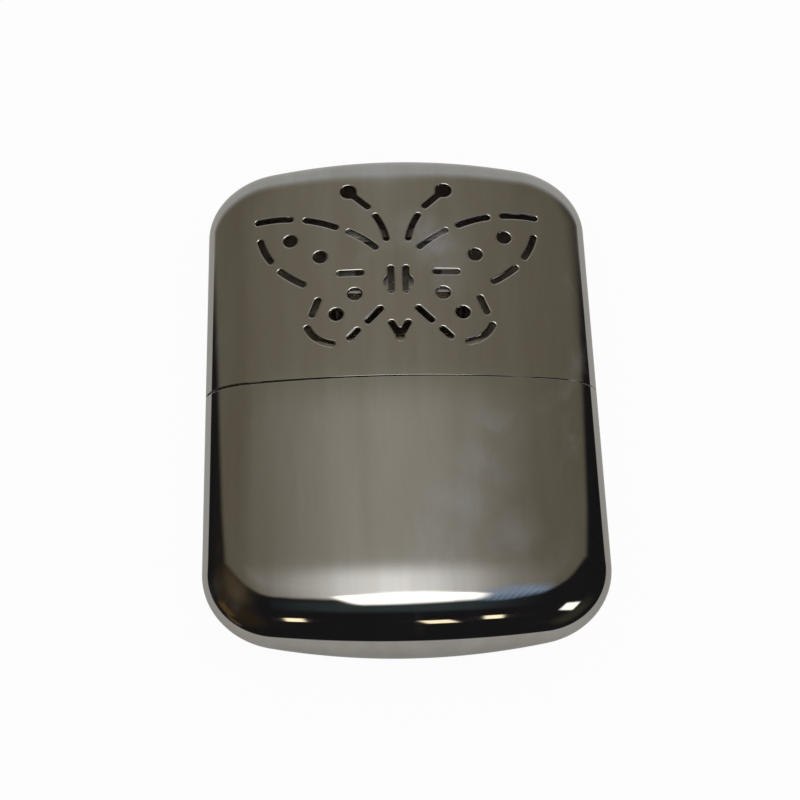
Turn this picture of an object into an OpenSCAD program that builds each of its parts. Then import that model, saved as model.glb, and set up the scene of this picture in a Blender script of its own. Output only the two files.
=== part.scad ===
// Catalytic hand warmer: a flat pocket flask whose lower half is a fuel tank packed with cotton.
// A burner head pushes onto the tank's filler neck, and a vented lid slides over both.
// It lies on its back, front face up. X runs across it, Y from the tank's end to the lid's end
// and Z out of the front. The origin is under its middle, on the surface that it lies on.
// Lengths are in millimetres. Heights along Y are counted from the seam between tank and lid.

/* [Casing] */
// Width across the sides
body_w = 68; // [60:0.5:82]
// Length of the tank casing, from its end to the seam
tank_len = 50; // [42:0.5:62]
// Length of the lid, from the seam to its end
lid_len = 50; // [48:0.5:62]
// Thickness on the centre line
body_t = 13; // [12.5:0.25:17]
// Radius of the outline's four corners
corner_r = 13.7; // [11:0.1:17]
// Radius of the outline's bowed ends
bow_r = 125; // [90:1:300]
// How much lower each face is at its sides than on the centre line
side_drop = 3.1; // [1.5:0.1:3.4]
// How much lower each face is at its end than at the seam
end_drop = 0.5; // [0:0.1:1]
// Length over which each face falls to its end
end_drop_len = 25; // [18:1:35]
// Depth of the rounded edge, measured in from the outline
edge_depth = 6; // [4:0.25:8]
// Thickness of the casing's sheet
sheet = 0.5; // [0.4:0.05:0.6]
// Gap between the rims of the tank and the lid
seam_gap = 0.15; // [0.1:0.05:0.3]

/* [Lid vents] */
// Width of the slots
slot_w = 1.05; // [0.8:0.05:1.3]
// Diameter of the round holes in the wings
spot_d = 2.5; // [2:0.1:3]
// Diameter of the round holes at the feelers' tips
feeler_d = 2.9; // [2:0.1:3.2]
// Plain metal between the seam and the figure
figure_foot = 7; // [4:0.5:10]
// Plain metal between the figure and the lid's end
figure_head = 8.4; // [7:0.2:12]

/* [Tank top] */
// Height of the collar that the lid slides over
collar_h = 9; // [7:0.5:11]
// Depth of the collar inside the tank casing
collar_depth = 4.5; // [3:0.5:8]
// Clearance between the collar and the casing round it
collar_fit = 0.1; // [0.05:0.05:0.15]
// Thickness of the tank top's sheet
top_sheet = 0.4; // [0.3:0.05:0.5]
// Radius between the collar and the dome
shoulder_r = 1; // [0.8:0.1:1.2]
// Rise of the dome from the shoulder to the filler neck
dome_rise = 0.8; // [0.4:0.1:1]

/* [Filler neck] */
// Width of the neck
neck_w = 24; // [20:0.5:30]
// Thickness of the neck
neck_t = 7; // [6.4:0.1:7.4]
// Thickness of the neck's wall
neck_wall = 0.5; // [0.4:0.05:0.6]
// Height of the neck above the dome
neck_h = 7.2; // [6:0.2:8]
// Clearance round the neck where it passes the dome
neck_gap = 0.1; // [0.05:0.05:0.15]
// Width of the flange under the dome
flange_w = 0.6; // [0.4:0.1:0.8]
// Thickness of the flange
flange_t = 0.5; // [0.4:0.05:0.8]

/* [Burner] */
// Clearance between the neck and the burner's skirt
skirt_fit = 0.15; // [0.1:0.05:0.2]
// Thickness of the burner's sheet
burner_sheet = 0.4; // [0.3:0.05:0.4]
// Length of the skirt from its lower edge to the rim
skirt_h = 8.4; // [7:0.2:9]
// Width of the rim that the cage stands on
rim_w = 1; // [0.8:0.1:1]
// Thickness of the rim
rim_t = 0.5; // [0.4:0.05:0.7]
// Length of the spigot above the rim, inside the cage
spigot_h = 1.6; // [1:0.2:2]
// Length of the two spring slits in each face of the skirt
slit_len = 4.5; // [3:0.5:6]
// Width of a spring slit
slit_w = 0.6; // [0.4:0.1:1]
// Distance between the two slits of a face
slit_pitch = 12; // [8:0.5:14]
// Clearance between the cage and the pieces that it fits over or into
cage_fit = 0.1; // [0.05:0.05:0.15]
// Height of the cage
cage_h = 13.3; // [12:0.1:14.5]
// Plain metal below the cage's windows
sill_h = 4.5; // [3:0.5:5]
// Height of the windows
window_h = 6.6; // [5:0.2:7]
// Width of the middle window
middle_window_w = 5.6; // [4:0.2:6]
// Width of the two side windows
side_window_w = 4; // [3:0.2:4.4]
// Width of the bars between the windows
bar_w = 1.4; // [1:0.1:2]
// Radius of the windows' corners
window_r = 0.8; // [0.4:0.1:1.2]
// Depth of the cap's edge over the cage
cap_lap = 1.8; // [1:0.2:2]
// Outer radius of the cap's edge
cap_r = 0.8; // [0.6:0.1:1.2]

/* [Burner filling] */
// Thickness of the plate with the vapour holes
plate_t = 0.4; // [0.3:0.05:0.6]
// Diameter of a vapour hole
vapour_d = 1.2; // [0.8:0.1:1.4]
// Distance between vapour holes
vapour_pitch = 2; // [1.8:0.1:2.4]
// Thickness of the catalyst mat
mat_t = 1.7; // [1.4:0.1:1.8]
// Clearance round the catalyst mat
mat_gap = 0.2; // [0.15:0.05:0.3]
// Thickness of the support gauze
gauze_t = 0.3; // [0.2:0.05:0.4]
// Width of a slot in the support gauze
gauze_slot_w = 1; // [0.6:0.1:1.2]
// Distance between slots in the support gauze
gauze_pitch = 2.2; // [1.8:0.1:3]

/* [Tank filling] */
// Clearance round the cotton and the felt
soft_gap = 0.3; // [0.2:0.05:0.4]
// Height of the upper cotton above the seam
cotton_top = 7; // [5:0.2:7]
// Depth of the parting between the two lumps of cotton, below the seam
cotton_parting = 20; // [10:1:30]
// Thickness of the felt pad in the neck
felt_t = 4; // [3:0.2:4.5]

/* [Hidden] */
$fn = 48;

// Colours
nickel = "#8b877b";
steel = "#a9a9a6";
brass = "#b79b5a";
cotton = "#efece2";
felt = "#dedad0";
glass_fibre = "#8d8c88";

// Facets of a casing skin: segments across one face (odd, so that one lies flat on the centre
// line), rings round a corner and rings along the bow
face_segments = 27;
corner_rings = 7;
bow_rings = 6;
ring_points = 2*face_segments;
// Rings round the shoulder
shoulder_rings = 3;
// Film of solder or running gap between pieces that sit on each other
seat = 0.05;
// Reach of a cutting body past the sheet that it cuts
cut = 20;

// Middle of the corner arcs, the same for every skin parallel to the outside
corner_x = body_w/2 - corner_r;
function bow_y(len) = len - bow_r;
function corner_y(len) = bow_y(len) + sqrt(pow(bow_r - corner_r, 2) - pow(corner_x, 2));
// Angle at which the corner arc runs into the bow
corner_angle = acos(corner_x/(bow_r - corner_r));

// Heights along the burner's axis
dome_top = collar_h + dome_rise;
neck_top = dome_top + neck_h;
flange_top = dome_top - top_sheet - seat;
felt_y = cotton_top + soft_gap;
skirt_y = dome_top + soft_gap;
rim_y = skirt_y + skirt_h;
cage_y = rim_y + rim_t;
plate_y = cage_y + spigot_h + seat;
mat_y = plate_y + plate_t + mat_gap;
cage_top = cage_y + cage_h;
cap_under = cage_top + soft_gap;

// Half thicknesses of the oblong pieces, which share one spine
spine = neck_w - neck_t;
neck_r = neck_t/2;
skirt_in = neck_r + skirt_fit;
skirt_out = skirt_in + burner_sheet;
cage_in = skirt_out + cage_fit;
cage_out = cage_in + burner_sheet;
cap_in = cage_out + cage_fit;
cap_out = cap_in + burner_sheet;
mat_out = cage_in - mat_gap;
mat_in = mat_out - mat_t;
gauze_out = mat_in - mat_gap;

// The lid's figure: a butterfly of slots and round holes, drawn at this height, right half only.
// Each slot is bowed through its start, middle and end, as [x, height above the figure's foot].
figure_h = 34.6;
figure_scale = (lid_len - figure_foot - figure_head)/figure_h;
wing_slots = [
    [[25.1, 27.5], [22.0, 27.8], [18.9, 27.7]],
    [[16.5, 27.3], [13.7, 26.5], [10.8, 25.3]],
    [[8.8, 24.3], [6.2, 22.6], [3.8, 20.5]],
    [[24.5, 23.4], [23.7, 20.9], [22.5, 18.6]],
    [[21.0, 16.5], [18.9, 14.7], [16.7, 13.2]],
    [[10.6, 15.2], [8.5, 15.2], [6.4, 15.2]],
    [[14.2, 9.9], [14.8, 8.2], [15.4, 6.6]],
    [[16.3, 4.2], [14.5, 1.7], [11.7, 0.4]],
    [[3.2, 7.6], [4.4, 6.2], [5.7, 4.8]],
    [[7.3, 3.2], [8.1, 2.3], [8.9, 1.4]]
];
wing_spots = [[19.1, 22.9], [13.8, 19.0], [7.8, 10.7], [11.1, 6.6]];
feeler_tip = [8.6, 33.2];
feeler_slots = [
    [[8.6, 33.2], [6.9, 31.4], [5.0, 29.5]],
    [[3.9, 27.7], [2.7, 25.2], [1.9, 22.3]]
];
trunk_slot = [[1.35, 11.1], [1.3, 13.6], [1.35, 16.2]];
trunk_bulge = [1.1, 13.1];
trunk_bulge_r = 1.45;
tail_slot = [[1.5, 4.6], [0.8, 3.1], [0, 1.5]];
tail_r = 0.7;
// Segments that a bowed slot is built from
slot_steps = 3;

// ---------------------------------------------------------------- casing skins

// Half width of the outline at height y, for a skin that lies gap inside the outside
function half_width(y, gap, len) =
    y <= corner_y(len) ? body_w/2 - gap :
    y <= corner_y(len) + (corner_r - gap)*sin(corner_angle) ?
        corner_x + sqrt(pow(corner_r - gap, 2) - pow(y - corner_y(len), 2)) :
        sqrt(pow(bow_r - gap, 2) - pow(y - bow_y(len), 2));

// Distance of a point inside the skin's outline
function inset(x, y, gap, len) =
    let(across = abs(x) - corner_x, along = y - corner_y(len))
    across > 0 && along > 0 && atan2(along, across) < corner_angle ?
        corner_r - gap - norm([across, along]) :
        min(body_w/2 - gap - abs(x), bow_r - gap - norm([x, y - bow_y(len)]));

// Height of the crowned face, before the edge rounds it off
function crown(x, y, gap, len) =
    let(fall = max(0, y - len + end_drop_len)/end_drop_len)
    body_t/2 - gap - side_drop*pow(2*x/body_w, 2) - end_drop*fall*fall;

// Height of the skin above the middle plane
function skin_z(x, y, gap, len) =
    let(rest = 1 - min(1, max(0, inset(x, y, gap, len))/(edge_depth - gap)))
    crown(x, y, gap, len)*sqrt(1 - rest*rest);

// Sideways place of a ring's point, from -1 to 1: front face left to right, then back again
function ring_angle(j) = -90 + 180*(j < face_segments ? j : 2*face_segments - j)/face_segments;
function ring_side(j) = j < face_segments ? 1 : -1;

// Ring of points round the skin at height y
function section(y, gap, len) =
    let(w = half_width(y, gap, len))
    [for (j = [0:ring_points - 1])
        let(x = w*sin(ring_angle(j)))
        [x, y, ring_side(j)*skin_z(x, y, gap, len)]];

// Ring of points round an oblong with the burner's spine
function oblong_ring(y, r) =
    [for (j = [0:ring_points - 1])
        let(a = ring_angle(j))
        [sign(a)*spine/2 + r*sin(a), y, ring_side(j)*r*cos(a)]];

function at_height(ring, y) = [for (p = ring) [p.x, y, p.z]];

// Heights of a skin's rings, from the seam side to the last one before the tip
function ring_heights(from, gap, len) =
    let(fall_y = len - end_drop_len, turn = 90 - corner_angle)
    concat(
        from < fall_y ? [from, fall_y] : [from],
        [(fall_y + corner_y(len))/2, corner_y(len)],
        [for (i = [1:corner_rings])
            corner_y(len) + (corner_r - gap)*sin(corner_angle*i/corner_rings)],
        [for (i = [1:bow_rings - 1])
            bow_y(len) + (bow_r - gap)*cos(turn*(1 - i/bow_rings))]
    );

function skin_rings(from, gap, len) =
    [for (y = ring_heights(from, gap, len)) section(y, gap, len)];

// Triangles between rings i and j, and from ring i to a single point
function band(i, j) =
    [for (k = [0:ring_points - 1])
        let(a = i*ring_points + k, b = i*ring_points + (k + 1) % ring_points,
            c = j*ring_points + k, d = j*ring_points + (k + 1) % ring_points)
        each [[a, d, b], [a, c, d]]];
function fan(i, tip) =
    [for (k = [0:ring_points - 1])
        [i*ring_points + k, tip, i*ring_points + (k + 1) % ring_points]];
function flip(faces) = [for (f = faces) [f[0], f[2], f[1]]];

// Drawn shell from its rim at the height `from` to its closed end
module casing(from, len) {
    outer = skin_rings(from, 0, len);
    inner = skin_rings(from, sheet, len);
    n = len(outer);
    tips = [[0, len, 0], [0, len - sheet, 0]];
    tip = 2*n*ring_points;
    polyhedron(
        points = concat([for (ring = concat(outer, inner)) each ring], tips),
        faces = concat(
            [for (i = [0:n - 2]) each band(i, i + 1)],
            fan(n - 1, tip),
            flip([for (i = [n:2*n - 2]) each band(i, i + 1)]),
            flip(fan(2*n - 1, tip + 1)),
            band(n, 0)
        ),
        convexity = 6
    );
}

// Solid that fills a skin from the height `from` to its closed end
module filling_end(from, gap, len) {
    rings = skin_rings(from, gap, len);
    n = len(rings);
    polyhedron(
        points = concat([for (ring = rings) each ring], [[0, len - gap, 0]]),
        faces = concat(
            [[for (k = [0:ring_points - 1]) k]],
            [for (i = [0:n - 2]) each band(i, i + 1)],
            fan(n - 1, n*ring_points)
        )
    );
}

// Solid that fills the straight part of a skin between two heights
module filling(from, to, gap) {
    ring = section(0, gap, lid_len);
    polyhedron(
        points = concat(at_height(ring, from), at_height(ring, to)),
        faces = concat(
            [[for (k = [0:ring_points - 1]) k]],
            band(0, 1),
            [[for (k = [ring_points - 1:-1:0]) ring_points + k]]
        )
    );
}

// Puts the seam frame into the frame of the whole warmer, which lies on the back's middle facet
module placed() {
    rest_z = max([for (p = section(0, 0, lid_len)) p.z]);
    translate([0, (tank_len - lid_len)/2, rest_z])
        children();
}

// ---------------------------------------------------------------- oblong pieces

// Turns a half profile into an oblong piece: two turned ends joined by straight flanks.
// The profile's x is the distance from the spine and its y the height above the seam.
module oblong() {
    rotate([-90, 0, 0]) {
        for (side = [-1, 1])
            translate([side*spine/2, 0, 0])
                rotate([0, 0, -90*side])
                    rotate_extrude(angle = 180)
                        children();
        for (side = [0, 1])
            mirror([0, side, 0])
                rotate([90, 0, 90])
                    linear_extrude(spine, center = true)
                        children();
    }
}

// Rectangle between two distances from the spine and two heights
module block(x0, x1, y0, y1) {
    translate([x0, y0])
        square([x1 - x0, y1 - y0]);
}

// The same with a rounded outer upper corner
module rounded_block(x0, x1, y0, y1, r) {
    block(x0, x1, y0, y1 - r);
    block(x0, x1 - r, y0, y1);
    translate([x1 - r, y1 - r])
        circle(r);
}

// Window with rounded corners, cut through both faces of an oblong piece
module window(x, w, y, h, r) {
    translate([x, y + h/2, 0])
        for (size = [[w - 2*r, h], [w, h - 2*r]])
            cube([size.x, size.y, cut], center = true);
    for (sx = [-1, 1], sy = [-1, 1])
        translate([x + sx*(w/2 - r), y + h/2 + sy*(h/2 - r), 0])
            cylinder(r = r, h = cut, center = true);
}

// ---------------------------------------------------------------- lid vents

// Point at t from 0 to 1 on the curve through start, middle and end
function bowed(p, t) = p[0]*(1 - t)*(1 - 2*t) + p[1]*4*t*(1 - t) + p[2]*t*(2*t - 1);

module slot(p) {
    for (i = [0:slot_steps - 1])
        hull()
            for (t = [i, i + 1]/slot_steps)
                translate(bowed(p, t)*figure_scale)
                    circle(d = slot_w, $fn = 12);
}

module spot(p, r) {
    translate(p*figure_scale)
        circle(r, $fn = 20);
}

// Right half of the butterfly
module half_butterfly() {
    for (p = concat(wing_slots, feeler_slots, [trunk_slot, tail_slot]))
        slot(p);
    for (p = wing_spots)
        spot(p, spot_d/2);
    spot(feeler_tip, feeler_d/2);
    spot(tail_slot[2], tail_r);
    intersection() {
        spot(trunk_bulge, trunk_bulge_r);
        translate([trunk_slot[0].x*figure_scale, 0])
            square(figure_h*figure_scale);
    }
}

module vents() {
    translate([0, figure_foot, body_t/4 - side_drop/2])
        linear_extrude(body_t)
            for (side = [0, 1])
                mirror([side, 0])
                    half_butterfly();
}

// ---------------------------------------------------------------- tank

module tank_shell() {
    color(nickel)
        placed()
            mirror([0, 1, 0])
                casing(seam_gap/2, tank_len);
}

// Rings of one side of the tank top: up the collar, round the shoulder, up the dome to the flat
// land that the neck's flange is soldered under, and in to the hole for the neck
function top_rings(gap, drop) =
    let(r = shoulder_r - drop)
    concat(
        [at_height(section(0, gap, lid_len), -collar_depth)],
        [for (i = [0:shoulder_rings])
            let(a = 90*i/shoulder_rings)
            at_height(section(0, gap + r*(1 - cos(a)), lid_len), collar_h - shoulder_r + r*sin(a))],
        [for (r = [neck_r + flange_w + neck_gap, neck_r + neck_gap])
            oblong_ring(dome_top - drop, r)]
    );

module tank_top() {
    outer = top_rings(sheet + collar_fit, 0);
    inner = top_rings(sheet + collar_fit + top_sheet, top_sheet);
    n = len(outer);
    color(brass)
        placed()
            polyhedron(
                points = [for (ring = concat(outer, inner)) each ring],
                faces = concat(
                    [for (i = [0:n - 2]) each band(i, i + 1)],
                    band(n - 1, 2*n - 1),
                    flip([for (i = [n:2*n - 2]) each band(i, i + 1)]),
                    band(n, 0)
                ),
                convexity = 6
            );
}

module filler_neck() {
    color(brass)
        placed()
            oblong() {
                block(neck_r - neck_wall, neck_r, flange_top - flange_t, neck_top);
                block(neck_r - neck_wall, neck_r + flange_w, flange_top - flange_t, flange_top);
            }
}

module lower_cotton() {
    color(cotton)
        placed()
            mirror([0, 1, 0])
                filling_end(cotton_parting + soft_gap/2, sheet + soft_gap, tank_len);
}

module upper_cotton() {
    color(cotton)
        placed()
            filling(soft_gap/2 - cotton_parting, cotton_top,
                sheet + collar_fit + top_sheet + soft_gap);
}

module wick_felt() {
    color(felt)
        placed()
            oblong()
                block(0, neck_r - neck_wall - soft_gap, felt_y, felt_y + felt_t);
}

// ---------------------------------------------------------------- burner

module burner_skirt() {
    color(steel)
        placed()
            difference() {
                oblong() {
                    block(skirt_in, skirt_out, skirt_y, cage_y + spigot_h);
                    block(skirt_in, skirt_out + rim_w, rim_y, cage_y);
                }
                for (side = [-1, 1])
                    translate([side*slit_pitch/2, skirt_y + slit_len/2, 0])
                        cube([slit_w, slit_len + 2*seat, cut], center = true);
            }
}

module diffuser_plate() {
    columns = floor(spine/2/vapour_pitch);
    color(steel)
        placed()
            difference() {
                oblong()
                    block(0, skirt_out, plate_y, plate_y + plate_t);
                for (i = [-columns:columns], row = [-1, 1])
                    translate([i*vapour_pitch, plate_y, row*vapour_pitch/2])
                        rotate([90, 0, 0])
                            cylinder(d = vapour_d, h = cut, center = true);
            }
}

module support_gauze() {
    columns = floor(spine/2/gauze_pitch);
    height = cap_under - mat_gap - mat_t - mat_gap - plate_y - plate_t - seat;
    color(steel)
        placed()
            difference() {
                oblong()
                    block(gauze_out - gauze_t, gauze_out, plate_y + plate_t + seat,
                        plate_y + plate_t + seat + height);
                for (i = [-columns:columns])
                    translate([i*gauze_pitch, plate_y + plate_t + seat + height/2, 0])
                        cube([gauze_slot_w, height*2/3, cut], center = true);
            }
}

module catalyst_mat() {
    top = cap_under - mat_gap;
    color(glass_fibre)
        placed()
            oblong() {
                block(mat_in, mat_out, mat_y, top - mat_t);
                rounded_block(0, mat_out, top - mat_t, top, mat_t/2);
            }
}

module burner_cage() {
    side_x = (middle_window_w + side_window_w)/2 + bar_w;
    color(steel)
        placed()
            difference() {
                oblong()
                    block(cage_in, cage_out, cage_y, cage_top);
                window(0, middle_window_w, cage_y + sill_h, window_h, window_r);
                for (side = [-1, 1])
                    window(side*side_x, side_window_w, cage_y + sill_h, window_h, window_r);
            }
}

module cage_cap() {
    color(steel)
        placed()
            oblong()
                difference() {
                    rounded_block(0, cap_out, cage_top - cap_lap, cap_under + burner_sheet, cap_r);
                    rounded_block(-1, cap_in, cage_top - cap_lap - 1, cap_under, cap_r - burner_sheet);
                }
}

// ---------------------------------------------------------------- lid

module lid_shell() {
    color(nickel)
        placed()
            difference() {
                casing(seam_gap/2, lid_len);
                vents();
            }
}

tank_shell();
tank_top();
filler_neck();
lower_cotton();
upper_cotton();
wick_felt();
burner_skirt();
diffuser_plate();
support_gauze();
catalyst_mat();
burner_cage();
cage_cap();
lid_shell();
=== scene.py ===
"""Looks of a catalytic hand warmer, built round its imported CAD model.

The casing's two drawn shells are smooth versions of the CAD's faceted ones, with the lid's vents
punched through them. The cotton, the felt and the catalyst mat are modelled as fibrous pieces.
Shapes are worked out in millimetres in the seam frame, whose origin is in the middle of the seam
between tank and lid, and are put into the row frame, in metres, when a mesh is made.
"""

import math

import bmesh
import bpy
import numpy as np
from mathutils import Matrix, Vector, noise
from mathutils.geometry import delaunay_2d_cdt
from mathutils.kdtree import KDTree


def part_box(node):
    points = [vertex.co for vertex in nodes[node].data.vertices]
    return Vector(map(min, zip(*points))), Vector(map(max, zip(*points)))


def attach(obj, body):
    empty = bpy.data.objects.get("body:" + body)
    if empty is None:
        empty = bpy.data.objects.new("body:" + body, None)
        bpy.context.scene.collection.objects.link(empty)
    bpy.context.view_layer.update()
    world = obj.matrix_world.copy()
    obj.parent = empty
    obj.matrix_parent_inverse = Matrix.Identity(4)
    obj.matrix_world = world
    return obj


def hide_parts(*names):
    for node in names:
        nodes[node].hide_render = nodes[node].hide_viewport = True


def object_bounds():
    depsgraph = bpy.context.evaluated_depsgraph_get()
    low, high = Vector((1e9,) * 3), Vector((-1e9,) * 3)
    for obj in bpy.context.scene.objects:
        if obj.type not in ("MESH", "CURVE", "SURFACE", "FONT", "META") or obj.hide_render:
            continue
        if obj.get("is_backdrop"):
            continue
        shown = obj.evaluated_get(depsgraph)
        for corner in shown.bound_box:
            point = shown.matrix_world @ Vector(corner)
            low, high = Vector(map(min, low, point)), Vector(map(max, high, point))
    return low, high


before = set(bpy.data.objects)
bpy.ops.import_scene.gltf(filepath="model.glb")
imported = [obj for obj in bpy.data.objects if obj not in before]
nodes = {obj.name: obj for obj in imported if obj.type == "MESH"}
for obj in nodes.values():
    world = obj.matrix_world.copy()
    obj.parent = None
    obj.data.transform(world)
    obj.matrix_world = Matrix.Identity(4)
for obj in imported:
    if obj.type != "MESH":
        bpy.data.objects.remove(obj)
cad_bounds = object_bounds()

MM = 0.001
lid_low, lid_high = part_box("lid_shell")

# ---------------------------------------------------------------- driving dimensions

HALF_W = lid_high.x / MM                    # half width of the body
LENGTH = lid_high.y / MM                    # length of the lid, and of the tank
REST_Z = (lid_low.z + lid_high.z) / 2 / MM  # height of the middle plane above the floor
HALF_T = 6.5                                # half thickness on the centre line
CORNER_R = 13.7                             # radius of the outline's corners
BOW_R = 125                                 # radius of the outline's bowed ends
SIDE_DROP = 3.1                             # fall of a face from its centre line to its side
END_DROP = 0.5                              # fall of a face from the seam to its end
END_DROP_LEN = 25                           # length over which it falls
EDGE_DEPTH = 9                              # depth of the rolled edge, from the outline
EDGE_POWER = 3                              # how gently the roll begins
SHEET = 0.5                                 # thickness of the casing's sheet
SEAM_GAP = 0.15                             # gap between the rims
RIM_W, RIM_D = 0.12, 0.06                   # width and depth of the rims' rounding
ROLL_W = 6                                  # width of the border meshed as a roll

SLOT_W = 1.05                               # width of the vent slots
SPOT_D = 2.5                                # diameter of the wings' round holes
FEELER_D = 2.9                              # diameter of the holes at the feelers' tips
FIGURE_FOOT = 6.5                           # height of the figure's foot above the seam
FIGURE_STRETCH = 1.012                      # how much longer than its table the figure is drawn
PUNCH_W, PUNCH_D = 0.38, 0.13               # width and depth of the vents' rolled-over edges

CORNER_X = HALF_W - CORNER_R
BOW_Y = LENGTH - BOW_R
CORNER_Y = BOW_Y + math.sqrt((BOW_R - CORNER_R) ** 2 - CORNER_X ** 2)
CORNER_ANGLE = math.acos(CORNER_X / (BOW_R - CORNER_R))

# ---------------------------------------------------------------- camera

CAMERA_AZIMUTH = math.radians(-2.179)
CAMERA_ELEVATION = math.radians(57.316)
CAMERA_ROLL = math.radians(0.751)
CAMERA_DISTANCE = 405.3                     # mm, from the middle of the seam
FRAME_PX = 800
FOCAL_PX = 2329.16
AIM_PX = (401.446, 395.828)                 # where the middle of the seam falls in the frame
SENSOR_MM = 36


def add_camera():
    """Camera at the photograph's viewing angle, aimed at the middle of the seam."""
    cos_el = math.cos(CAMERA_ELEVATION)
    back = Vector((math.sin(CAMERA_AZIMUTH) * cos_el, -math.cos(CAMERA_AZIMUTH) * cos_el,
                   math.sin(CAMERA_ELEVATION)))
    level_right = (-back).cross(Vector((0, 0, 1))).normalized()
    level_up = level_right.cross(-back)
    right = math.cos(CAMERA_ROLL) * level_right + math.sin(CAMERA_ROLL) * level_up
    up = math.cos(CAMERA_ROLL) * level_up - math.sin(CAMERA_ROLL) * level_right
    data = bpy.data.cameras.new("camera")
    data.sensor_width = SENSOR_MM
    data.lens = FOCAL_PX / FRAME_PX * SENSOR_MM
    data.shift_x = (FRAME_PX / 2 - AIM_PX[0]) / FRAME_PX
    data.shift_y = (AIM_PX[1] - FRAME_PX / 2) / FRAME_PX
    data.clip_start = 0.01
    camera = bpy.data.objects.new("camera", data)
    place = Vector((0, 0, REST_Z * MM)) + back * CAMERA_DISTANCE * MM
    axes = Matrix((right, up, back)).transposed().to_4x4()
    camera.matrix_world = Matrix.Translation(place) @ axes
    bpy.context.scene.collection.objects.link(camera)
    bpy.context.scene.camera = camera


# ---------------------------------------------------------------- node helpers

class Nodes:
    """Short calls for building a node tree."""

    def __init__(self, tree):
        self.tree = tree
        tree.nodes.clear()

    def add(self, kind, **settings):
        node = self.tree.nodes.new("ShaderNode" + kind)
        for name, value in settings.items():
            setattr(node, name, value)
        return node

    def put(self, socket, value):
        """Links an output to a socket, or sets the socket's own value."""
        if isinstance(value, bpy.types.NodeSocket):
            self.tree.links.new(value, socket)
        elif value is not None:
            socket.default_value = value

    def math(self, operation, a, b=None, c=None, clamp=False):
        node = self.add("Math", operation=operation, use_clamp=clamp)
        for socket, value in zip(node.inputs, (a, b, c)):
            self.put(socket, value)
        return node.outputs[0]

    def times(self, a, b):
        return self.math("MULTIPLY", a, b)

    def minus(self, a, b):
        return self.math("SUBTRACT", a, b)

    def times_plus(self, a, b, c):
        return self.math("MULTIPLY_ADD", a, b, c)

    def dot(self, vector, direction):
        node = self.add("VectorMath", operation="DOT_PRODUCT")
        self.put(node.inputs[0], vector)
        self.put(node.inputs[1], direction)
        return node.outputs["Value"]

    def ramp(self, value, low, high, to_low=0.0, to_high=1.0, smooth=True):
        """Value mapped from low..high to to_low..to_high, held outside."""
        node = self.add("MapRange", interpolation_type="SMOOTHSTEP" if smooth else "LINEAR")
        for socket, number in zip(node.inputs, (value, low, high, to_low, to_high)):
            self.put(socket, number)
        return node.outputs[0]

    def mix(self, factor, a, b):
        node = self.add("Mix", data_type="RGBA")
        self.put(node.inputs[0], factor)
        for socket, value in ((node.inputs[6], a), (node.inputs[7], b)):
            if isinstance(value, tuple) and len(value) == 3:
                value = (*value, 1)
            self.put(socket, value)
        return node.outputs[2]

    def place(self, scale):
        """Object coordinates, in metres, times scale."""
        coord = self.add("TexCoord").outputs["Object"]
        node = self.add("Mapping")
        self.put(node.inputs["Vector"], coord)
        self.put(node.inputs["Scale"], scale if hasattr(scale, "__len__") else (scale,) * 3)
        return node.outputs[0]

    def split(self, vector):
        node = self.add("SeparateXYZ")
        self.put(node.inputs[0], vector)
        return node.outputs

    def distance(self, x, y):
        """Distance in millimetres from a point of the seam frame, seen along Z."""
        here = self.split(self.place(1 / MM))
        across = self.math("SUBTRACT", here[0], x)
        along = self.math("SUBTRACT", here[1], y)
        square = self.math("MULTIPLY", along, along)
        return self.math("SQRT", self.math("MULTIPLY_ADD", across, across, square))

    def noise(self, scale, detail=2.0, roughness=0.5, distortion=0.0):
        node = self.add("TexNoise")
        self.put(node.inputs["Vector"], self.place(scale))
        self.put(node.inputs["Scale"], 1.0)
        self.put(node.inputs["Detail"], detail)
        self.put(node.inputs["Roughness"], roughness)
        self.put(node.inputs["Distortion"], distortion)
        return node.outputs["Fac"]

    def bump(self, height, distance, strength=1.0, under=None):
        """Normal for a height from 0 to 1 that stands for distance millimetres."""
        node = self.add("Bump")
        self.put(node.inputs["Strength"], strength)
        self.put(node.inputs["Distance"], distance * MM)
        self.put(node.inputs["Height"], height)
        self.put(node.inputs["Normal"], under)
        return node.outputs[0]


def new_material(name):
    material = bpy.data.materials.new(name)
    material.use_nodes = True
    build = Nodes(material.node_tree)
    shader = build.add("BsdfPrincipled")
    output = build.add("OutputMaterial")
    build.tree.links.new(shader.outputs[0], output.inputs["Surface"])
    return material, build, shader.inputs


# ---------------------------------------------------------------- studio

def direction(azimuth, elevation):
    """Unit vector at an azimuth from +Y towards +X and an elevation, both in degrees."""
    a, e = math.radians(azimuth), math.radians(elevation)
    return Vector((math.sin(a) * math.cos(e), math.cos(a) * math.cos(e), math.sin(e)))


def card_mask(build, ray, azimuth, elevation, half_w, half_h, soft_w, soft_h, turn=0):
    """1 inside a soft-edged card in the given direction, 0 outside. Sizes are in degrees."""
    middle = direction(azimuth, elevation)
    across = direction(azimuth + 90, 0)
    upward = across.cross(middle)
    spin = math.radians(turn)
    across, upward = (math.cos(spin) * across + math.sin(spin) * upward,
                      math.cos(spin) * upward - math.sin(spin) * across)
    depth = build.dot(ray, middle)
    mask = build.ramp(depth, 0.0, 0.1)
    for axis, half, soft in ((across, half_w, soft_w), (upward, half_h, soft_h)):
        along = build.math("DIVIDE", build.dot(ray, axis), build.math("MAXIMUM", depth, 0.05))
        along = build.math("ABSOLUTE", along)
        inner, outer = math.tan(math.radians(max(half - soft / 2, 0))), \
            math.tan(math.radians(half + soft / 2))
        mask = build.times(mask, build.ramp(along, inner, outer, 1.0, 0.0))
    return mask


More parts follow.
